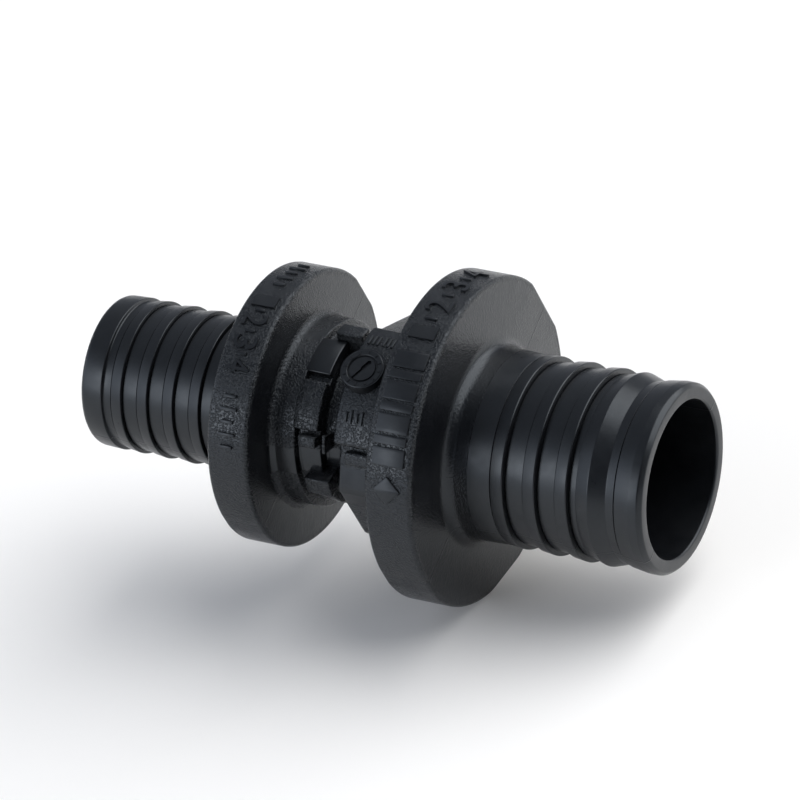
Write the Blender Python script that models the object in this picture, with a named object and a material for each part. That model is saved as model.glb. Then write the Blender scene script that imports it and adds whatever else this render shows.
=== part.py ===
"""Reducing coupling for sleeve-joined plastic pipe: one black moulding, modelled by its regions.

The bore runs along X. +X points out of the end for the larger pipe, +Z is up, and the
origin is on the bore's axis, halfway along the coupling. Lengths are in metres.
"""
import math

import bmesh
import bpy
from mathutils import Vector

MM = 0.001
SEGMENTS = 48                     # round a full turn; a multiple of 8, for the octagon's corners
MOULD_DEG = 25.0                  # direction in which the mould opens, from +Z towards -Y

# Stations along the axis, from the small free end to the large one
LENGTH = 59.1 * MM
SMALL_END = -LENGTH / 2
LARGE_END = LENGTH / 2
LARGE_SPIGOT = 19.8 * MM          # large free end to its collar
LARGE_COLLAR = 4.7 * MM
HUB_OCTAGON = 5.7 * MM
HUB_RING = 7.7 * MM
SMALL_COLLAR = 4.2 * MM

LARGE_FACE = LARGE_END - LARGE_SPIGOT
OCTAGON_RIGHT = LARGE_FACE - LARGE_COLLAR
OCTAGON_LEFT = OCTAGON_RIGHT - HUB_OCTAGON
RING_LEFT = OCTAGON_LEFT - HUB_RING
SMALL_FACE = RING_LEFT - SMALL_COLLAR

# Radii
LARGE_BORE = 7.4 * MM
SMALL_BORE = 5.7 * MM
LARGE_COLLAR_R = 15.5 * MM
SMALL_COLLAR_R = 13.2 * MM
OCTAGON_R = 9.8 * MM              # to the middle of a flat
RING_R = 8.1 * MM
GROOVE_R = 7.1 * MM
COVE = 2.4 * MM                   # fillet where a collar's outer face runs into its spigot
EDGE = 0.5 * MM                   # rounding of the collars' rims
LARGE_FLATS = ((-90.0, 0.45 * MM), (90.0, 0.15 * MM))   # at each parting line: angle, depth
SMALL_FLATS = ((-90.0, 0.20 * MM), (90.0, 0.15 * MM))

# Barbs: each rises over a short ramp to its crest, then steps down to the land
LARGE_CREST = 9.0 * MM
LARGE_LAND = 8.6 * MM
SMALL_CREST = 7.3 * MM
SMALL_LAND = 7.0 * MM
LARGE_BARBS = 3
LARGE_PITCH = 3.22 * MM
LARGE_FIRST = 6.0 * MM            # collar face to the first step
SMALL_BARBS = 5
SMALL_PITCH = 2.7 * MM
SMALL_FIRST = 4.4 * MM
RAMP = 1.2 * MM
STEP = 0.1 * MM                   # axial run of a step

# Features moulded on the ring: distances are from the octagon's left end, angles from the
# mould's opening direction, and both halves of the mould are alike
GROOVE_LEFT = OCTAGON_LEFT - 2.75 * MM
PAD_LEFT = OCTAGON_LEFT - 6.7 * MM
PAD_R = 8.85 * MM
PADS = ((-22.0, 4.5), (9.4, 40.3))
LUGS = (
    # left end, right end, top radius, start and end angle
    (-3.9 * MM, -1.15 * MM, 9.7 * MM, -31.5, -22.0),
    (-4.55 * MM, -2.75 * MM, 9.25 * MM, 43.0, 50.0),
    (-4.2 * MM, -1.6 * MM, 9.3 * MM, 70.5, 83.0),
)
BAR = (-2.2 * MM, -1.8 * MM, 9.0 * MM, 41.0, 53.0)

# Features moulded on the octagon
LABEL_R = 10.75 * MM
LABEL_ANGLES = (-26.0, 42.0)
LABEL_STEP_LEFT = OCTAGON_LEFT + 1.0 * MM
LABEL_STEP_R = 10.4 * MM
LABEL_STEP_ANGLES = (44.5, 52.5)
STAMP_R = 2.1 * MM
STAMP_TOP = 11.3 * MM             # above the axis
STAMP_X = OCTAGON_LEFT + 1.45 * MM
STAMP_OFFSET = 0.7 * MM           # to the side of the opening direction

PLASTIC = (0.030, 0.032, 0.036)


def clear_scene():
    for item in list(bpy.data.objects):
        bpy.data.objects.remove(item, do_unlink=True)


def plastic(name, roughness):
    """Black moulded plastic; the spigots are polished, the rest is spark-eroded."""
    material = bpy.data.materials.new(name)
    material.use_nodes = True
    shader = material.node_tree.nodes["Principled BSDF"]
    shader.inputs["Base Color"].default_value = (*PLASTIC, 1)
    shader.inputs["Metallic"].default_value = 0
    shader.inputs["Roughness"].default_value = roughness
    return material


def direction(degrees):
    """Unit vector across the axis, at an angle from the mould's opening direction."""
    angle = math.radians(MOULD_DEG + degrees)
    return Vector((0, -math.sin(angle), math.cos(angle)))


def add_object(name, shape, roughness):
    bmesh.ops.remove_doubles(shape, verts=shape.verts, dist=1e-7)
    bmesh.ops.recalc_face_normals(shape, faces=shape.faces)
    mesh = bpy.data.meshes.new(name)
    shape.to_mesh(mesh)
    shape.free()
    mesh.materials.append(plastic(name + "_plastic", roughness))
    mesh.shade_smooth()
    mesh.set_sharp_from_angle(angle=math.radians(30))
    item = bpy.data.objects.new(name, mesh)
    bpy.context.collection.objects.link(item)
    return item


def turned(name, outline, roughness):
    """Closed (x, radius) outline swept round the axis; a radius may be a function of the angle."""
    shape = bmesh.new()
    rows = []
    for x, radius in outline:
        row = []
        for step in range(SEGMENTS):
            degrees = 360 * step / SEGMENTS
            size = radius(degrees) if callable(radius) else radius
            row.append(shape.verts.new(direction(degrees) * size + Vector((x, 0, 0))))
        rows.append(row)
    for row, following in zip(rows, rows[1:] + rows[:1]):
        for step in range(SEGMENTS):
            after = (step + 1) % SEGMENTS
            shape.faces.new((row[step], row[after], following[after], following[step]))
    return add_object(name, shape, roughness)


def round_radius(size, degrees):
    """Radius, at an angle, of a circle turned with SEGMENTS flat faces."""
    half = 180 / SEGMENTS
    return size * math.cos(math.radians(half)) / math.cos(math.radians(degrees % (2 * half) - half))


def flat_radius(degrees):
    """Radius, at an angle, of the octagon."""
    return OCTAGON_R / math.cos(math.radians((degrees + 22.5) % 45 - 22.5))


def sector(name, outline, start, end):
    """Closed (x, radius) outline swept from one angle to another, on the faces of `turned`."""
    pitch = 360 / SEGMENTS
    first, last = math.floor(start / pitch) + 1, math.ceil(end / pitch)
    angles = [start] + [step * pitch for step in range(first, last)] + [end]
    shape = bmesh.new()
    rows = []
    for degrees in angles:
        row = []
        for x, radius in outline:
            size = radius(degrees) if callable(radius) else round_radius(radius, degrees)
            row.append(shape.verts.new(direction(degrees) * size + Vector((x, 0, 0))))
        rows.append(row)
    for row, following in zip(rows, rows[1:]):
        for corner in range(len(outline)):
            after = (corner + 1) % len(outline)
            shape.faces.new((row[corner], row[after], following[after], following[corner]))
    shape.faces.new(rows[0])
    shape.faces.new(rows[-1])
    return add_object(name, shape, 0.5)


def with_flats(points, rim, flats):
    """Lets a flat run across a collar's rim at each parting line."""
    def cut(size):
        def radius(degrees):
            sizes = [size]
            for side, depth in flats:
                away = math.cos(math.radians(degrees - side))
                if away > 0:
                    sizes.append((rim - depth) / away)
            return min(sizes)
        return radius
    return [(x, cut(size)) for x, size in points]


def arc(x, radius, size, start, end, steps=4):
    """Points on an arc in the (x, radius) plane."""
    angles = [math.radians(start + (end - start) * step / steps) for step in range(steps + 1)]
    return [(x + size * math.cos(angle), radius + size * math.sin(angle)) for angle in angles]


def barbs(first, pitch, count, crest, land):
    """Outer points of a spigot's barbs, from left to right, each stepping down towards +X."""
    points = []
    for step in range(count):
        x = first + step * pitch
        points += [(x - RAMP, land), (x, crest), (x + STEP, land)]
    return points


def make_large_spigot():
    lip = LARGE_END - 1.2 * MM
    rounded_crest = LARGE_END - 5.3 * MM
    outline = [(LARGE_FACE + COVE, LARGE_BORE), (LARGE_FACE + COVE, LARGE_CREST - STEP)]
    outline += barbs(LARGE_FACE + LARGE_FIRST, LARGE_PITCH, LARGE_BARBS, LARGE_CREST, LARGE_LAND)
    outline += [(rounded_crest - RAMP, LARGE_LAND), (rounded_crest, LARGE_CREST - STEP)]
    outline += [(rounded_crest + 1.4 * MM, LARGE_LAND - STEP), (lip - RAMP, LARGE_LAND + STEP)]
    outline += [(lip, LARGE_CREST - STEP), (LARGE_END - 0.4 * MM, LARGE_CREST - STEP)]
    outline += [(LARGE_END, LARGE_CREST - 5 * STEP), (LARGE_END, LARGE_BORE)]
    return turned("large_spigot", outline, 0.3)


def make_small_spigot():
    outline = [(SMALL_END, SMALL_BORE), (SMALL_END, SMALL_CREST - 5 * STEP)]
    outline += [(SMALL_END + 0.4 * MM, SMALL_CREST - STEP)]
    first_step = SMALL_END + 2.4 * MM
    outline += [(first_step, SMALL_CREST), (first_step + STEP, SMALL_LAND)]
    second = SMALL_FACE - SMALL_FIRST - (SMALL_BARBS - 2) * SMALL_PITCH
    outline += barbs(second, SMALL_PITCH, SMALL_BARBS - 1, SMALL_CREST, SMALL_LAND)
    outline += [(SMALL_FACE - COVE, SMALL_LAND), (SMALL_FACE - COVE, SMALL_BORE)]
    return turned("small_spigot", outline, 0.3)


def make_large_collar():
    left, right = OCTAGON_RIGHT, LARGE_FACE
    neck = LARGE_CREST - STEP
    rim = arc(left + EDGE, LARGE_COLLAR_R - EDGE, EDGE, 180, 90, 2)
    rim += arc(right - EDGE, LARGE_COLLAR_R - EDGE, EDGE, 90, 0, 2)
    outline = [(left, LARGE_BORE)] + with_flats(rim, LARGE_COLLAR_R, LARGE_FLATS)
    outline += arc(right + COVE, neck + COVE, COVE, 180, 270)
    outline += [(right + COVE, LARGE_BORE)]
    return turned("large_collar", outline, 0.5)


def make_small_collar():
    left, right = SMALL_FACE, RING_LEFT
    outline = [(left - COVE, SMALL_BORE)]
    outline += arc(left - COVE, SMALL_LAND + COVE, COVE, 270, 360)
    rim = arc(left + EDGE, SMALL_COLLAR_R - EDGE, EDGE, 180, 90, 2)
    rim += arc(right - EDGE, SMALL_COLLAR_R - EDGE, EDGE, 90, 0, 2)
    outline += with_flats(rim, SMALL_COLLAR_R, SMALL_FLATS) + [(right, SMALL_BORE)]
    return turned("small_collar", outline, 0.5)


def stamp_boss(name, top):
    """Round boss that rises from the groove's floor, square to the opening direction."""
    out = direction(0)
    across = direction(90)
    shape = bmesh.new()
    bmesh.ops.create_cone(shape, cap_ends=True, segments=32, radius1=STAMP_R, radius2=STAMP_R,
                          depth=top - GROOVE_R)
    for vert in shape.verts:
        height = (GROOVE_R + top) / 2 + vert.co.z
        aside = STAMP_OFFSET + vert.co.y
        vert.co = Vector((STAMP_X + vert.co.x, 0, 0)) + across * aside + out * height
    return add_object(name, shape, 0.4)


def make_hub_octagon():
    """The octagon holds the end of the bore's taper."""
    outline = [(OCTAGON_LEFT, SMALL_BORE), (OCTAGON_LEFT, flat_radius)]
    outline += [(OCTAGON_RIGHT, flat_radius), (OCTAGON_RIGHT, LARGE_BORE)]
    return turned("hub_octagon", outline, 0.5)


def make_hub_ring():
    """The ring between octagon and small collar, with a deep groove beside the octagon."""
    outline = [(RING_LEFT, SMALL_BORE), (RING_LEFT, RING_R), (GROOVE_LEFT, RING_R)]
    outline += [(GROOVE_LEFT, GROOVE_R), (OCTAGON_LEFT, GROOVE_R), (OCTAGON_LEFT, SMALL_BORE)]
    return turned("hub_ring", outline, 0.5)


def ring_section(left, right, top):
    """Outline of a block on the ring, reaching down into the groove where it hangs over it."""
    left, right = OCTAGON_LEFT + left, OCTAGON_LEFT + right
    if right <= GROOVE_LEFT:
        return [(left, RING_R), (left, top), (right, top), (right, RING_R)]
    if left >= GROOVE_LEFT:
        return [(left, GROOVE_R), (left, top), (right, top), (right, GROOVE_R)]
    foot = [(right, GROOVE_R), (GROOVE_LEFT, GROOVE_R), (GROOVE_LEFT, RING_R)]
    return [(left, RING_R), (left, top), (right, top)] + foot


def make_ring_features(half, turned_by):
    """The pads, lugs and thin bar on one half of the ring; half is 0 or 1."""
    pad = [(PAD_LEFT, RING_R), (PAD_LEFT, PAD_R), (GROOVE_LEFT, PAD_R), (GROOVE_LEFT, RING_R)]
    for number, (start, end) in enumerate(PADS, start=1 + half * len(PADS)):
        sector(f"ring_pad_{number}", pad, start + turned_by, end + turned_by)
    for number, (left, right, top, start, end) in enumerate(LUGS, start=1 + half * len(LUGS)):
        outline = ring_section(left, right, top)
        sector(f"hub_lug_{number}", outline, start + turned_by, end + turned_by)
    left, right, top, start, end = BAR
    sector(f"pocket_bar_{half + 1}", ring_section(left, right, top), start + turned_by, end + turned_by)


def make_label(half, turned_by):
    """The raised label field and the small step below it, on one half of the octagon."""
    start, end = (angle + turned_by for angle in LABEL_ANGLES)
    outline = [(OCTAGON_LEFT, flat_radius), (OCTAGON_LEFT, LABEL_R)]
    outline += [(OCTAGON_RIGHT, LABEL_R), (OCTAGON_RIGHT, flat_radius)]
    field = sector(f"label_field_{half + 1}", outline, start, end)
    start, end = (angle + turned_by for angle in LABEL_STEP_ANGLES)
    outline = [(LABEL_STEP_LEFT, flat_radius), (LABEL_STEP_LEFT, LABEL_STEP_R)]
    outline += [(OCTAGON_RIGHT, LABEL_STEP_R), (OCTAGON_RIGHT, flat_radius)]
    sector(f"label_step_{half + 1}", outline, start, end)
    return field


def cut_for_stamp(item, cutter):
    """Opens a piece for the boss that passes through it."""
    cut = item.modifiers.new("stamp_boss", "BOOLEAN")
    cut.operation = "DIFFERENCE"
    cut.solver = "EXACT"
    cut.object = cutter


clear_scene()
make_small_spigot()
make_small_collar()
make_hub_ring()
octagon = make_hub_octagon()
make_large_collar()
make_large_spigot()
make_ring_features(0, 0.0)
make_ring_features(1, 180.0)
label = make_label(0, 0.0)
make_label(1, 180.0)
stamp_boss("date_stamp", STAMP_TOP)
boss_cutter = stamp_boss("boss_cutter", STAMP_TOP + EDGE)
boss_cutter.hide_render = True
boss_cutter.display_type = "WIRE"
cut_for_stamp(octagon, boss_cutter)
cut_for_stamp(label, boss_cutter)
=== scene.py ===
import math

import bmesh
import bpy
from mathutils import Matrix, Vector


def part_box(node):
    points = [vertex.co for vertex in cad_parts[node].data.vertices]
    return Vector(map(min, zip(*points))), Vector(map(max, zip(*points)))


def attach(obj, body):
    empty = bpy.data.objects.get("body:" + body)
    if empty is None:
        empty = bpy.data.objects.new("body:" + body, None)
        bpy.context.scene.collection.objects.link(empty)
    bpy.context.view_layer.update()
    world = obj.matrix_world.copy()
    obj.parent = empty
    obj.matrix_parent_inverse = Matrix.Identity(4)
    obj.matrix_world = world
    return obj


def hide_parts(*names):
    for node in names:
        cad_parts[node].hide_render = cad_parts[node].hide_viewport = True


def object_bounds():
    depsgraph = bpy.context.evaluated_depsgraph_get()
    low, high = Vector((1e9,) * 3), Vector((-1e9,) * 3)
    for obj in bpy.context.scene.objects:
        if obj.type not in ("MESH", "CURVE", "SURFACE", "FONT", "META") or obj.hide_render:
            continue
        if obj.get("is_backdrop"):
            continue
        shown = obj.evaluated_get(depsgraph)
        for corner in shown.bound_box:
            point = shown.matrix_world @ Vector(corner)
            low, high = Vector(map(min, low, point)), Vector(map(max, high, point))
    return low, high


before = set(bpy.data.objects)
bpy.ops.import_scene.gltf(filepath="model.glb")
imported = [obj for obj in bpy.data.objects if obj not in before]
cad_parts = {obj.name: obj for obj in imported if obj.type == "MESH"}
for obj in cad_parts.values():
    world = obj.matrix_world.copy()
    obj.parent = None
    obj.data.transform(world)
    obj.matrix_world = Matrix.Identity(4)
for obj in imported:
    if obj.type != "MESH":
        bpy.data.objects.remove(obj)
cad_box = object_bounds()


# ---------------------------------------------------------------------------------------
# Small spigot. The coupling is one moulding of black polysulfone. This end takes the
# smaller pipe, which is widened and pushed over five low barbs; the mould's steel is
# polished here, so the surface is satin and shows only the steel's fine turning lines.
# ---------------------------------------------------------------------------------------
MM = 0.001
TURN = 192                        # faces round a full turn
BLACK = (0.0038, 0.0042, 0.0052)
MOULD_DEG = 25.0                  # the mould opens this far from +Z, towards -Y
SHARP = math.radians(35)          # edges steeper than this stay sharp

small_bore = 5.7 * MM
small_crest = 7.28 * MM
small_land = 6.98 * MM
small_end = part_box("small_spigot")[0].x
small_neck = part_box("small_spigot")[1].x


def across(degrees):
    """Unit vector square to the axis, at an angle from the mould's opening direction."""
    angle = math.radians(MOULD_DEG + degrees)
    return Vector((0, -math.sin(angle), math.cos(angle)))


def corner(before, here, after, radius, steps=5):
    """Points of the arc that rounds one corner of an outline."""
    back = (before - here).normalized()
    on = (after - here).normalized()
    half = back.angle(on) / 2
    room = 0.48 * min((before - here).length, (after - here).length)
    reach = min(radius / math.tan(half), room)
    middle = (back + on).normalized() * (reach / math.cos(half))
    start, end = back * reach - middle, on * reach - middle
    turn = start.angle_signed(end)
    arc = []
    for step in range(steps + 1):
        angle = -turn * step / steps
        swing = Matrix(((math.cos(angle), -math.sin(angle)), (math.sin(angle), math.cos(angle))))
        arc.append(here + middle + swing @ start)
    return arc


def soften(outline):
    """A closed (x, radius) outline with each corner that has a third number rounded to it."""
    points = [Vector(point[:2]) for point in outline]
    smooth = []
    for number, point in enumerate(outline):
        if len(point) == 2:
            smooth.append(points[number])
        else:
            after = points[(number + 1) % len(points)]
            smooth += corner(points[number - 1], points[number], after, point[2])
    return smooth


def draw_section(name, outline):
    """Draws a closed outline in the XZ plane as a loop of edges, and stays in edit mode."""
    bpy.ops.object.select_all(action="DESELECT")
    bpy.ops.mesh.primitive_plane_add(size=MM)
    piece = bpy.context.object
    piece.name = name
    piece.data.name = name
    bpy.ops.object.mode_set(mode="EDIT")
    bpy.ops.mesh.select_all(action="SELECT")
    bpy.ops.mesh.merge(type="CENTER")
    points = [Vector((point[0], 0, point[1])) for point in soften(outline)]
    bpy.ops.transform.translate(value=points[0])
    for before, here in zip(points, points[1:] + points[:1]):
        bpy.ops.mesh.extrude_region_move(TRANSFORM_OT_translate={"value": here - before})
    bpy.ops.mesh.select_all(action="SELECT")
    bpy.ops.mesh.remove_doubles(threshold=1e-7)
    return piece


def turned(name, outline):
    """A section turned right round the bore's axis."""
    piece = draw_section(name, outline)
    bpy.ops.mesh.select_all(action="SELECT")
    bpy.ops.mesh.spin(steps=TURN, angle=math.tau, center=(0, 0, 0), axis=(1, 0, 0))
    bpy.ops.mesh.select_all(action="SELECT")
    bpy.ops.mesh.remove_doubles(threshold=1e-7)
    bpy.ops.mesh.normals_make_consistent(inside=False)
    bpy.ops.object.mode_set(mode="OBJECT")
    bpy.ops.object.shade_smooth_by_angle(angle=SHARP)
    return piece


class Wire:
    """A shader socket that adds the node for each sum or product it takes part in."""

    def __init__(self, tree, socket):
        self.tree = tree
        self.socket = socket

    def node(self, kind, sockets=(), settings=(), out=0):
        made = self.tree.nodes.new(kind)
        for key, value in dict(settings).items():
            setattr(made, key, value)
        for key, value in dict(sockets).items():
            if isinstance(value, Wire):
                self.tree.links.new(value.socket, made.inputs[key])
            else:
                made.inputs[key].default_value = value
        return Wire(self.tree, made.outputs[out])

    def maths(self, operation, *values):
        return self.node("ShaderNodeMath", dict(enumerate(values)), {"operation": operation})

    def __add__(self, other):
        return self.maths("ADD", self, other)

    def __sub__(self, other):
        return self.maths("SUBTRACT", self, other)

    def __rsub__(self, other):
        return self.maths("SUBTRACT", other, self)

    def __mul__(self, other):
        return self.maths("MULTIPLY", self, other)

    def absolute(self):
        return self.maths("ABSOLUTE", self)

    def between(self, low, high):
        """0 below low, 1 above high, and smooth in between."""
        settings = {"interpolation_type": "SMOOTHSTEP"}
        return self.node("ShaderNodeMapRange", {0: self, 1: low, 2: high}, settings)

    def mix(self, first, second):
        """Mixes two colours by this value."""
        settings = {"data_type": "RGBA"}
        return self.node("ShaderNodeMix", {0: self, 6: (*first, 1), 7: (*second, 1)}, settings, 2)

    def dot(self, direction):
        """How far a place lies along a direction."""
        settings = {"operation": "DOT_PRODUCT"}
        return self.node("ShaderNodeVectorMath", {0: self, 1: direction}, settings, 1)

    def noise(self, scale, detail, roughness=0.55):
        sockets = {"Vector": self, "Scale": scale, "Detail": detail, "Roughness": roughness}
        return self.node("ShaderNodeTexNoise", sockets)


def black_plastic(name, grain, gloss, lines=0.0, smooth=None, rim=None):
    """Black moulded polysulfone, for an object whose origin is on the bore's axis.

    grain is the depth of the spark-eroded grain in mm, gloss the roughness of the skin
    between its peaks, and lines the depth in mm of turning lines round the axis. Between
    the two angles in smooth, on each half, the mould's steel was polished flat. Inside the
    radius given as rim, which is to say on a collar's faces, the grain is shallower.
    """
    material = bpy.data.materials.new(name)
    material.use_nodes = True
    tree = material.node_tree
    shader = tree.nodes["Principled BSDF"]
    shader.inputs["IOR"].default_value = 1.45
    shader.inputs["Specular Tint"].default_value = (0.86, 0.93, 1.0, 1)
    place = Wire(tree, tree.nodes.new("ShaderNodeTexCoord").outputs["Object"])
    cloud = place.noise(260, 3)
    speck = place.noise(5200, 2, 0.7)
    tone = (cloud * 0.6 + speck * 0.4).between(0.35, 0.7)
    tint = tone.mix([value * 0.8 for value in BLACK], [value * 1.35 for value in BLACK])
    tree.links.new(tint.socket, shader.inputs["Base Color"])
    rough_skin = 1.0 if grain else 0.4
    opening, aside = place.dot(across(0)), place.dot(across(90))
    if rim:
        radius = place.maths("SQRT", opening * opening + aside * aside)
        rough_skin = radius.between(rim - 0.7 * MM, rim - 0.3 * MM) * 0.75 + 0.25
    if smooth:
        turn = place.maths("ARCTAN2", aside, opening) * math.degrees(1) + 360
        turn = place.maths("MODULO", turn, 180)
        first, last = smooth
        rough_skin = 1 - turn.between(first - 1, first) + turn.between(last, last + 1)
    smear = place.noise(700, 4).between(0.3, 0.75)
    roughness = smear * 0.08 + speck * rough_skin * 0.10 + gloss
    tree.links.new(roughness.socket, shader.inputs["Roughness"])
    joint = 1 - opening.absolute().between(0.02 * MM, 0.10 * MM)
    height = place.noise(1500, 4) * 0.004 + joint * 0.03
    if grain:
        peaks = place.noise(5300, 2, 0.6).between(0.42, 0.72)
        height = height + peaks * rough_skin * grain
    if lines:
        stretch = {0: place, 1: (9000, 60, 60)}
        stretched = place.node("ShaderNodeVectorMath", stretch, {"operation": "MULTIPLY"})
        height = height + stretched.noise(1.0, 2) * lines
    bump = place.node("ShaderNodeBump", {"Height": height, "Distance": MM, "Strength": 1.0})
    tree.links.new(bump.socket, shader.inputs["Normal"])
    return material


def finish_piece(piece, material, slot, *nodes):
    """Gives a piece its material, and the place of the nodes it stands for."""
    piece.data.materials.clear()
    piece.data.materials.append(material)
    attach(piece, "root")
    if nodes:
        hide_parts(*nodes)


polished = black_plastic("polished_plastic", grain=0, gloss=0.26, lines=0.003)
marking = black_plastic("marking_plastic", grain=0, gloss=0.33)


def insert_line(x, before, after):
    """The small rise, with a fine groove before it, where two inserts of the mould meet."""
    groove = [(x - 0.11 * MM, before), (x - 0.05 * MM, before - 0.07 * MM)]
    return groove + [(x + 0.03 * MM, after, 0.02 * MM)]


small_lip = small_end + 2.35 * MM
small_first = small_lip + 2.1 * MM
small_pitch = 2.77 * MM
small_groove = small_land - 0.15 * MM
outline = [(small_end, small_bore, 0.15 * MM), (small_end, small_crest - 0.1 * MM, 0.55 * MM)]
outline += [(small_lip, small_crest, 0.10 * MM), (small_lip + 0.12 * MM, small_land, 0.12 * MM)]
for number in range(4):
    step = small_first + small_pitch * number
    outline += insert_line(step - 1.12 * MM, small_land + 0.04 * MM, small_land + 0.17 * MM)
    outline += [(step - 0.08 * MM, small_crest, 0.05 * MM)]
    outline += [(step, small_crest - 0.02 * MM, 0.02 * MM)]
    outline += [(step + 0.06 * MM, small_groove), (step + 0.12 * MM, small_groove)]
    outline += [(step + 0.17 * MM, small_land, 0.03 * MM)]
outline += [(small_neck, small_land), (small_neck, small_bore)]
small_spigot = turned("small_spigot_body", outline)
finish_piece(small_spigot, polished, "polished_plastic", "small_spigot")


# ---------------------------------------------------------------------------------------
# Small collar. The sleeve on the smaller pipe stops against it. It is part of the same
# black moulding: its rim and faces keep the mould's spark-eroded grain, a flat runs across
# it at each parting line, and engraving in the steel leaves raised marks on its rim.
# ---------------------------------------------------------------------------------------
cove = 2.4 * MM
rim_edge = 0.38 * MM
small_rim = 13.2 * MM
small_collar_left = small_neck + cove
small_collar_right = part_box("small_collar")[1].x


def trim_collar(piece, radius, flats):
    """Draws the rim in to a flat at each parting line."""
    for side, depth in zip((-90, 90), flats):
        out = across(side)
        limit = radius - depth
        for vert in piece.data.vertices:
            spin = Vector((0, vert.co.y, vert.co.z))
            reach = spin.dot(out)
            if spin.length > 0.8 * radius and reach > limit * spin.length / radius:
                vert.co -= out * (reach - limit * spin.length / radius)
    piece.data.update()


grained = black_plastic("grained_plastic", grain=0.04, gloss=0.17)

outline = [(small_neck, small_bore), (small_neck, small_land)]
outline += [(small_collar_left, small_land, 1.9 * MM), (small_collar_left, small_rim, rim_edge)]
outline += [(small_collar_right, small_rim, rim_edge), (small_collar_right, small_bore)]
small_collar = turned("small_collar_body", outline)
trim_collar(small_collar, small_rim, (0.20 * MM, 0.04 * MM))
small_collar_plastic = black_plastic("small_collar_plastic", grain=0.05, gloss=0.16, rim=small_rim)
finish_piece(small_collar, small_collar_plastic, "eroded_plastic", "small_collar")

relief = 0.17 * MM                # height of the raised marks


def bar(at, width, height, turned_by=0):
    """A flat raised bar, drawn with the reading direction along X; sizes in mm."""
    size = (width * MM, height * MM, 2 * relief)
    spin = (0, 0, math.radians(turned_by))
    bpy.ops.mesh.primitive_cube_add(size=1, scale=size, location=(at * MM, 0, 0), rotation=spin)
    piece = bpy.context.object
    bpy.ops.object.transform_apply(location=True, rotation=True, scale=True)
    bevel = piece.modifiers.new("edges", "BEVEL")
    bevel.width = 0.06 * MM
    bevel.segments = 2
    bpy.ops.object.modifier_apply(modifier="edges")
    return piece


def figure(at, number, height, width):
    """A raised figure in a plain thin face; sizes in mm."""
    bpy.ops.object.text_add()
    text = bpy.context.object
    text.data.body = str(number)
    text.data.extrude = 0.1
    text.data.resolution_u = 6
    bpy.ops.object.convert(target="MESH")
    piece = bpy.context.object
    points = [vert.co for vert in piece.data.vertices]
    low = Vector(min(point[axis] for point in points) for axis in range(3))
    high = Vector(max(point[axis] for point in points) for axis in range(3))
    size = Vector((width * MM, height * MM, 2 * relief))
    grow = Vector(size[axis] / (high[axis] - low[axis]) for axis in range(3))
    middle = (low + high) / 2
    for vert in piece.data.vertices:
        vert.co = (vert.co - middle) * grow
    piece.data.transform(Matrix.Translation((at * MM, 0, 0)))
    bpy.ops.object.mode_set(mode="EDIT")
    bpy.ops.mesh.select_all(action="SELECT")
    bpy.ops.mesh.remove_doubles(threshold=1e-6)
    bpy.ops.object.mode_set(mode="OBJECT")
    return piece


def wrap_marks(name, pieces, radius, middle, degrees, reading):
    """Joins flat marks and lays them round the axis, about the place (middle, degrees).

    They read towards larger angles where reading is 1, and towards smaller ones at -1.
    """
    bpy.ops.object.select_all(action="DESELECT")
    for piece in pieces:
        piece.select_set(True)
    bpy.context.view_layer.objects.active = pieces[0]
    bpy.ops.object.join()
    marks = bpy.context.object
    marks.name = name
    marks.data.name = name
    mesh = bmesh.new()
    mesh.from_mesh(marks.data)
    ends = [vert.co.x for vert in mesh.verts]
    pitch = 0.4 * MM
    for step in range(math.floor(min(ends) / pitch), math.ceil(max(ends) / pitch)):
        parts = list(mesh.verts) + list(mesh.edges) + list(mesh.faces)
        place = (step * pitch, 0, 0)
        bmesh.ops.bisect_plane(mesh, geom=parts, plane_co=place, plane_no=(1, 0, 0))
    for vert in mesh.verts:
        angle = degrees + reading * math.degrees(vert.co.x / radius)
        along = Vector((middle + reading * vert.co.y, 0, 0))
        vert.co = across(angle) * (radius + vert.co.z) + along
    bmesh.ops.recalc_face_normals(mesh, faces=mesh.faces)
    mesh.to_mesh(marks.data)
    mesh.free()
    bpy.ops.object.shade_smooth_by_angle(angle=SHARP)
    finish_piece(marks, marking, "polished_plastic")


small_marks = []
for group in (-11.0, 6.4):
    for number in range(5):
        small_marks.append(bar(group + 1.2 * number, 0.32, 1.7 if number % 2 else 1.2))
for number, at in ((1, -3.5), (2, -1.2), (3, 1.2), (4, 3.5)):
    small_marks.append(figure(at, number, 2.4, 1.3))
small_marks += [bar(at, 0.3, 1.0) for at in (-2.35, 0, 2.35)]
small_middle = (small_collar_left + small_collar_right) / 2
wrap_marks("small_collar_marks", small_marks, small_rim, small_middle, 0, 1)


# ---------------------------------------------------------------------------------------
# Hub ring. The narrow part beside the small collar, with a cove against it and a deep
# groove before the octagon. It is the same black plastic, with the mould's eroded grain
# except for one polished strip on each half.
# ---------------------------------------------------------------------------------------
ring_core = 8.1 * MM
groove_floor = 7.1 * MM
octagon_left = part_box("hub_octagon")[0].x
octagon_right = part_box("hub_octagon")[1].x

groove_left = octagon_left - 2.75 * MM
shoulder = 8.85 * MM
recess_left = octagon_left - 5.1 * MM
ring_left = small_collar_right - 0.42 * MM
cove_start = small_collar_right - 0.02 * MM
cove_top = 10.4 * MM

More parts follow.
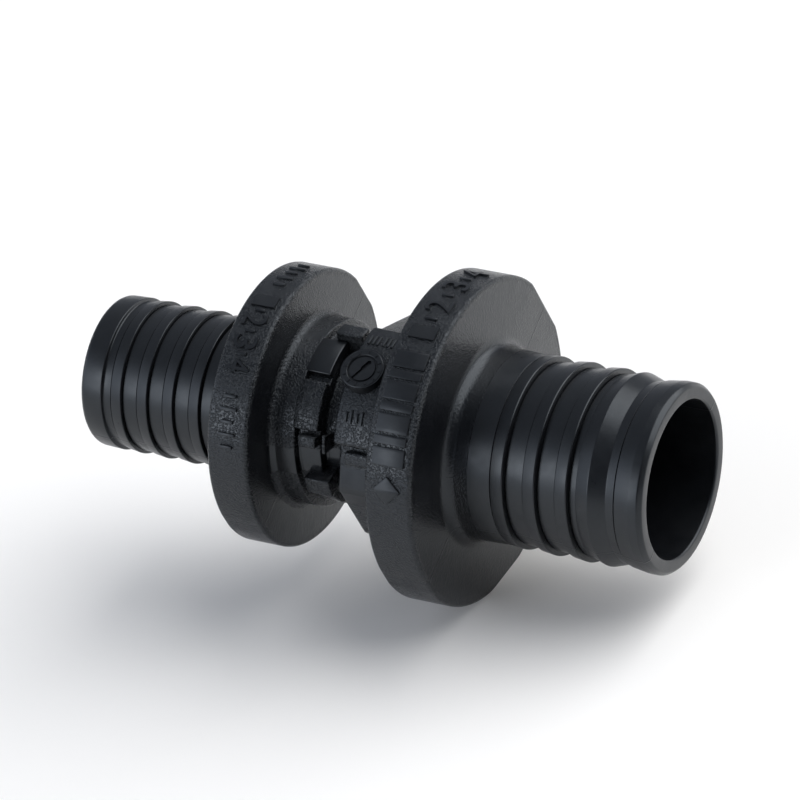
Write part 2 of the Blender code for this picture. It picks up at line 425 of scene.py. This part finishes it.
outline = [(ring_left, small_bore), (ring_left, cove_top), (cove_start, cove_top)]
outline += [(cove_start, shoulder, 1.35 * MM), (recess_left, shoulder, 0.15 * MM)]
outline += [(recess_left + 0.1 * MM, ring_core, 0.2 * MM), (groove_left, ring_core, 0.15 * MM)]
outline += [(groove_left, groove_floor, 0.3 * MM), (octagon_left, groove_floor)]
outline += [(octagon_left, small_bore)]
hub_ring = turned("hub_ring_body", outline)
ring_plastic = black_plastic("ring_plastic", grain=0.04, gloss=0.17, smooth=(54, 71))
finish_piece(hub_ring, ring_plastic, "eroded_plastic", "hub_ring")


# ---------------------------------------------------------------------------------------
# Ring pads, lugs and pocket bars. Raised fields of the same plastic on the ring, left by
# the mould's inserts and alike on both halves of the mould. One pad on each half is polished.
# ---------------------------------------------------------------------------------------
def sector(name, left, right, low, high, start, end, edge=0.15 * MM):
    """A block with a rounded back, between two angles from the mould's opening direction."""
    piece = draw_section(name, [(left, low), (left, high), (right, high), (right, low)])
    bpy.ops.mesh.edge_face_add()
    steps = max(2, round((end - start) / 2))
    sweep = math.radians(start - end)
    bpy.ops.mesh.spin(steps=steps, angle=sweep, center=(0, 0, 0), axis=(1, 0, 0))
    bpy.ops.mesh.select_all(action="SELECT")
    bpy.ops.mesh.normals_make_consistent(inside=False)
    bpy.ops.object.mode_set(mode="OBJECT")
    piece.data.transform(Matrix.Rotation(math.radians(MOULD_DEG + start), 4, "X"))
    bevel = piece.modifiers.new("edges", "BEVEL")
    bevel.width = edge
    bevel.segments = 3
    bevel.limit_method = "ANGLE"
    bevel.angle_limit = math.radians(40)
    bpy.ops.object.modifier_apply(modifier="edges")
    bpy.ops.object.shade_smooth_by_angle(angle=math.radians(30))
    return piece


ring_features = (
    # kind, left and right end from the octagon and radii of foot and top in mm,
    # start and end angle in degrees, material
    ("ring_pad", -5.4, -2.75, 7.8, 8.85, -22.0, 4.5, polished),
    ("ring_pad", -5.4, -2.75, 7.8, 8.86, 9.4, 40.3, grained),
    ("hub_lug", -3.9, -1.15, 6.9, 9.7, -31.5, -22.0, grained),
    ("hub_lug", -4.55, -2.75, 7.8, 9.25, 43.0, 50.0, grained),
    ("hub_lug", -4.2, -1.6, 6.9, 9.3, 70.5, 83.0, grained),
    ("pocket_bar", -2.2, -1.8, 6.9, 9.0, 41.0, 53.0, grained),
)
made = {"ring_pad": 0, "hub_lug": 0, "pocket_bar": 0}
for half in (0, 180):
    for kind, left, right, foot, top, start, end, material in ring_features:
        made[kind] += 1
        node = f"{kind}_{made[kind]}"
        ends = octagon_left + left * MM, octagon_left + right * MM
        piece = sector(node + "_body", *ends, foot * MM, top * MM, start + half, end + half)
        finish_piece(piece, material, "eroded_plastic", node)


# ---------------------------------------------------------------------------------------
# Hub octagon. Eight flats between the groove and the large collar, moulded with the rest.
# The bore narrows inside it, and each half of the mould leaves a raised label field and a
# step on it, with small raised marks on the field that shows.
# ---------------------------------------------------------------------------------------
octagon_flat = 9.75 * MM
octagon_corner = octagon_flat / math.cos(math.radians(22.5))
octagon_length = octagon_right - octagon_left
octagon_middle = ((octagon_left + octagon_right) / 2, 0, 0)
large_bore = 7.4 * MM
along_bore = (0, math.radians(90), 0)
label_top = 10.7 * MM
bpy.ops.object.select_all(action="DESELECT")
bpy.ops.mesh.primitive_cylinder_add(vertices=8, radius=octagon_corner, depth=octagon_length,
                                    rotation=along_bore, location=octagon_middle)
octagon = bpy.context.object
octagon.name = "hub_octagon_body"
bpy.ops.object.transform_apply(location=True, rotation=True, scale=True)
octagon.data.transform(Matrix.Rotation(math.radians(MOULD_DEG + 22.5), 4, "X"))
bevel = octagon.modifiers.new("edges", "BEVEL")
bevel.width = 0.45 * MM
bevel.segments = 4
bevel.angle_limit = math.radians(30)
bpy.ops.object.modifier_apply(modifier="edges")
taper = (large_bore - small_bore) / octagon_length
bpy.ops.mesh.primitive_cone_add(vertices=96, radius1=small_bore - taper * MM,
                                radius2=large_bore + taper * MM, depth=octagon_length + 2 * MM,
                                rotation=along_bore, location=octagon_middle)
drill = bpy.context.object
bpy.ops.object.transform_apply(location=True, rotation=True, scale=True)
bpy.context.view_layer.objects.active = octagon
cut = octagon.modifiers.new("bore", "BOOLEAN")
cut.object = drill
bpy.ops.object.modifier_apply(modifier="bore")
bpy.data.objects.remove(drill)
octagon.select_set(True)
bpy.ops.object.shade_smooth_by_angle(angle=SHARP)
octagon_plastic = black_plastic("octagon_plastic", grain=0.04, gloss=0.17, smooth=(55, 79))
finish_piece(octagon, octagon_plastic, "eroded_plastic", "hub_octagon")

for number, half in enumerate((0, 180), start=1):
    field = sector(f"label_field_{number}_body", octagon_left - 0.15 * MM, octagon_right,
                   9.0 * MM, label_top, -26.0 + half, 42.0 + half, 0.3 * MM)
    finish_piece(field, grained, "eroded_plastic", f"label_field_{number}")
    ledge = sector(f"label_step_{number}_body", octagon_left + 1.0 * MM, octagon_right,
                   9.0 * MM, 10.55 * MM, 44.8 + half, 52.0 + half, 0.25 * MM)
    finish_piece(ledge, grained, "eroded_plastic", f"label_step_{number}")

# These bars run round the axis, side by side along it, and sink 0.05 mm into the field
upper = [(-1.2, 1.1), (-0.75, 1.1), (-0.3, 1.1), (0.3, 1.1), (0.75, 1.1), (1.2, 1.1)]
lower = [(-0.8, 0.9), (-0.3, 1.3), (0.3, 0.9), (0.8, 1.3)]
for name, bars, degrees in (("upper", upper, -15.5), ("lower", lower, 27.0)):
    pieces = [bar(at, 0.26, height) for at, height in bars]
    for piece in pieces:
        piece.data.transform(Matrix.Rotation(math.radians(90), 4, "Z"))
    radius = label_top - 0.05 * MM
    wrap_marks("label_marks_" + name, pieces, radius, octagon_left + 1.7 * MM, degrees, 1)


# ---------------------------------------------------------------------------------------
# Date stamp. A round insert in the mould leaves a disc in the plastic, with a ring of small
# marks and a sunk arrow that the moulder turns to the month.
# ---------------------------------------------------------------------------------------
stamp_top = 11.3 * MM
stamp_depth = stamp_top - groove_floor
stamp_place = (Matrix.Rotation(math.radians(MOULD_DEG), 4, "X")
               @ Matrix.Translation((octagon_left + 1.45 * MM, -0.7 * MM, stamp_top)))
bpy.ops.object.select_all(action="DESELECT")
bpy.ops.mesh.primitive_cylinder_add(vertices=96, radius=2.1 * MM, depth=stamp_depth,
                                    location=(0, 0, -stamp_depth / 2))
stamp = bpy.context.object
stamp.name = "date_stamp_disc"
bpy.ops.object.transform_apply(location=True, rotation=True, scale=True)
bpy.ops.object.mode_set(mode="EDIT")
bpy.ops.mesh.select_all(action="DESELECT")
shape = bmesh.from_edit_mesh(stamp.data)
for face in shape.faces:
    face.select = face.normal.z > 0.9
bmesh.update_edit_mesh(stamp.data)
raised_ring = ((0.10, 0), (0.06, 0.05), (0.44, 0), (0.06, -0.05))
sunk_ring = ((0.05, -0.14), (0.12, 0), (0.05, 0.14))
for thickness, depth in raised_ring + sunk_ring:
    bpy.ops.mesh.inset(thickness=thickness * MM, depth=depth * MM)
bpy.ops.object.mode_set(mode="OBJECT")
for length, width, along in ((2.3, 0.24, -0.1), (1.0, 0.46, 0.45)):
    size = (length * MM, width * MM, 0.5 * MM)
    bpy.ops.mesh.primitive_cube_add(size=1, scale=size, location=(along * MM, 0, 0))
    slot_tool = bpy.context.object
    bpy.ops.object.transform_apply(location=True, rotation=True, scale=True)
    slot_tool.data.transform(Matrix.Rotation(math.radians(60), 4, "Z"))
    bpy.context.view_layer.objects.active = stamp
    cut = stamp.modifiers.new("arrow", "BOOLEAN")
    cut.object = slot_tool
    bpy.ops.object.modifier_apply(modifier="arrow")
    bpy.data.objects.remove(slot_tool)
stamp.data.transform(stamp_place)
stamp.select_set(True)
bpy.ops.object.shade_smooth_by_angle(angle=SHARP)
finish_piece(stamp, marking, "polished_plastic", "date_stamp")

ticks = []
for month in range(12):
    size = (0.30 * MM, 0.14 * MM, 0.24 * MM)
    bpy.ops.mesh.primitive_cube_add(size=1, scale=size, location=(1.68 * MM, 0, 0))
    tick = bpy.context.object
    bpy.ops.object.transform_apply(location=True, rotation=True, scale=True)
    tick.data.transform(Matrix.Rotation(math.radians(30 * month), 4, "Z"))
    ticks.append(tick)
bpy.ops.object.select_all(action="DESELECT")
for tick in ticks:
    tick.select_set(True)
bpy.context.view_layer.objects.active = ticks[0]
bpy.ops.object.join()
dial = bpy.context.object
dial.name = "date_stamp_ticks"
dial.data.name = "date_stamp_ticks"
dial.data.transform(stamp_place)
finish_piece(dial, marking, "polished_plastic")


# ---------------------------------------------------------------------------------------
# Large collar. The sleeve on the larger pipe stops against its outer face. Like the small
# one, it has the mould's eroded grain, a flat at each parting line and raised marks.
# ---------------------------------------------------------------------------------------
large_rim = 15.5 * MM
large_neck_radius = 8.95 * MM
large_collar_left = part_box("large_collar")[0].x
large_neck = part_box("large_collar")[1].x
large_collar_right = large_neck - cove

outline = [(large_collar_left, large_bore), (large_collar_left, large_rim, rim_edge)]
outline += [(large_collar_right, large_rim, rim_edge)]
outline += [(large_collar_right, large_neck_radius, 2.3 * MM), (large_neck, large_neck_radius)]
outline += [(large_neck, large_bore)]
large_collar = turned("large_collar_body", outline)
trim_collar(large_collar, large_rim, (0.45 * MM, 0.06 * MM))
large_collar_plastic = black_plastic("large_collar_plastic", grain=0.05, gloss=0.16, rim=large_rim)
finish_piece(large_collar, large_collar_plastic, "eroded_plastic", "large_collar")

large_marks = [bar(-13.3, 1.9, 1.9, 45)]
bar_start = -11.0
for width in (1.7, 0.8, 1.7, 0.8, 1.7, 0.8, 1.7):
    large_marks.append(bar(bar_start + width / 2, width, 3.2))
    bar_start += width + 0.27
for number, at in ((1, 2.0), (2, 5.4), (3, 8.9), (4, 12.4)):
    large_marks.append(figure(at, number, 2.6, 1.4))
large_marks += [bar(at, 0.3, 1.2) for at in (3.7, 7.2, 10.7)]
large_middle = (large_collar_left + large_collar_right) / 2
wrap_marks("large_collar_marks", large_marks, large_rim, large_middle, 0, -1)


# ---------------------------------------------------------------------------------------
# Large spigot. This end takes the larger pipe, over three sharp barbs and a rounded one
# near the lip. It is polished black plastic like the small spigot.
# ---------------------------------------------------------------------------------------
large_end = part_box("large_spigot")[1].x
large_crest = 9.0 * MM
large_land = 8.55 * MM

large_first = large_end - 13.85 * MM
large_pitch = 3.23 * MM
large_groove = large_land - 0.18 * MM
insert_back = 1.25 * MM           # from a step back to the line of the mould's insert
rounded_barb = large_end - 5.3 * MM

outline = [(large_neck, large_bore), (large_neck, large_neck_radius)]
low, high = large_neck_radius - 0.10 * MM, large_neck_radius - 0.05 * MM
for number in range(3):
    step = large_first + large_pitch * number
    outline += insert_line(step - insert_back, low, high)
    outline += [(step - 0.1 * MM, large_crest, 0.06 * MM)]
    outline += [(step, large_crest - 0.04 * MM, 0.02 * MM)]
    outline += [(step + 0.08 * MM, large_groove), (step + 0.15 * MM, large_groove)]
    outline += [(step + 0.21 * MM, large_land - 0.02 * MM, 0.03 * MM)]
    low, high = large_land + 0.08 * MM, large_land + 0.31 * MM
outline += [(rounded_barb - 1.35 * MM, large_land, 0.2 * MM)]
outline += [(rounded_barb, large_crest, 0.25 * MM)]
outline += [(rounded_barb + 1.6 * MM, large_land - 0.09 * MM, 0.25 * MM)]
outline += insert_line(large_end - 2.75 * MM, large_land + 0.08 * MM, large_land + 0.14 * MM)
outline += [(large_end - 1.25 * MM, large_crest - 0.09 * MM, 0.6 * MM)]
outline += [(large_end - 0.40 * MM, large_crest - 0.10 * MM, 0.3 * MM)]
outline += [(large_end, large_crest - 0.45 * MM, 0.25 * MM), (large_end, large_bore, 0.25 * MM)]
large_spigot = turned("large_spigot_body", outline)
finish_piece(large_spigot, polished, "polished_plastic", "large_spigot")


# ---------------------------------------------------------------------------------------
# Studio. A plain pale floor that touches both collars, a soft key light behind the large
# end, a small soft light at the front left, a dim sky and the camera.
# ---------------------------------------------------------------------------------------
touch_large = Vector((large_collar_left, 0, -large_rim))
touch_small = Vector((small_collar_left, 0, -small_rim))
slope = math.atan2(touch_small.z - touch_large.z, touch_large.x - touch_small.x)
under = touch_large - Vector((0, 0, 0.1 * MM))
bpy.ops.mesh.primitive_plane_add(size=6, location=under, rotation=(0, -slope, 0))
floor = bpy.context.object
floor.name = "studio_floor"
paper = bpy.data.materials.new("paper")
paper.use_nodes = True
sheet = paper.node_tree.nodes["Principled BSDF"]
sheet.inputs["Base Color"].default_value = (0.94, 0.92, 0.89, 1)
sheet.inputs["Roughness"].default_value = 0.5
floor.data.materials.append(paper)
floor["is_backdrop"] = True

bpy.context.scene.view_settings.view_transform = "Standard"
world = bpy.data.worlds.new("studio")
bpy.context.scene.world = world
world.use_nodes = True
sky_place = world.node_tree.nodes.new("ShaderNodeTexCoord")
sky = Wire(world.node_tree, sky_place.outputs["Generated"])
left_side = sky.dot((-0.71, -0.70, 0.10)).between(0.62, 0.90)
level = sky.dot((0.07, 0.21, 0.97)).absolute().between(0.03, 0.60)
dark_side = sky.dot((0.50, -0.85, 0.15)).between(0.25, 0.95)
strength = (1 - level) * left_side * 1.4 + 0.37 - dark_side * 0.27
background = world.node_tree.nodes["Background"]
background.inputs["Color"].default_value = (0.90, 0.97, 1.10, 1)
world.node_tree.links.new(strength.socket, background.inputs["Strength"])


def softbox(name, azimuth, elevation, distance, size, power):
    """A soft light aimed at the coupling; azimuth 0 is from -Y, and 90 from +X."""
    a, e = math.radians(azimuth), math.radians(elevation)
    out = Vector((math.sin(a) * math.cos(e), -math.cos(a) * math.cos(e), math.sin(e)))
    light = bpy.data.lights.new(name, "AREA")
    light.shape = "RECTANGLE"
    light.size, light.size_y = size
    light.energy = power
    lamp = bpy.data.objects.new(name, light)
    lamp.location = out * distance
    lamp.rotation_euler = out.to_track_quat("Z", "Y").to_euler()
    bpy.context.collection.objects.link(lamp)


softbox("key", 132, 50, 0.9, (1.25, 1.25), 14.5)
softbox("front_left", -28, 15, 0.6, (0.20, 0.28), 0.55)

camera_data = bpy.data.cameras.new("camera")
camera_data.lens = 292.5
camera_data.clip_end = 20
camera = bpy.data.objects.new("camera", camera_data)
bpy.context.collection.objects.link(camera)
camera.location = Vector((261.69, -421.08, 340.21)) * MM
aim = Vector((0.08, 1.43, 1.72)) * MM
upright = (aim - camera.location).to_track_quat("-Z", "Y").to_matrix()
roll = Matrix.Rotation(math.radians(-8.265), 3, "Z")
camera.rotation_euler = (upright @ roll).to_euler()
bpy.context.scene.camera = camera

bpy.context.view_layer.update()
sizes = {"cad": cad_box, "visual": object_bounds()}
sizes = {name: [list(point) for point in box] for name, box in sizes.items()}
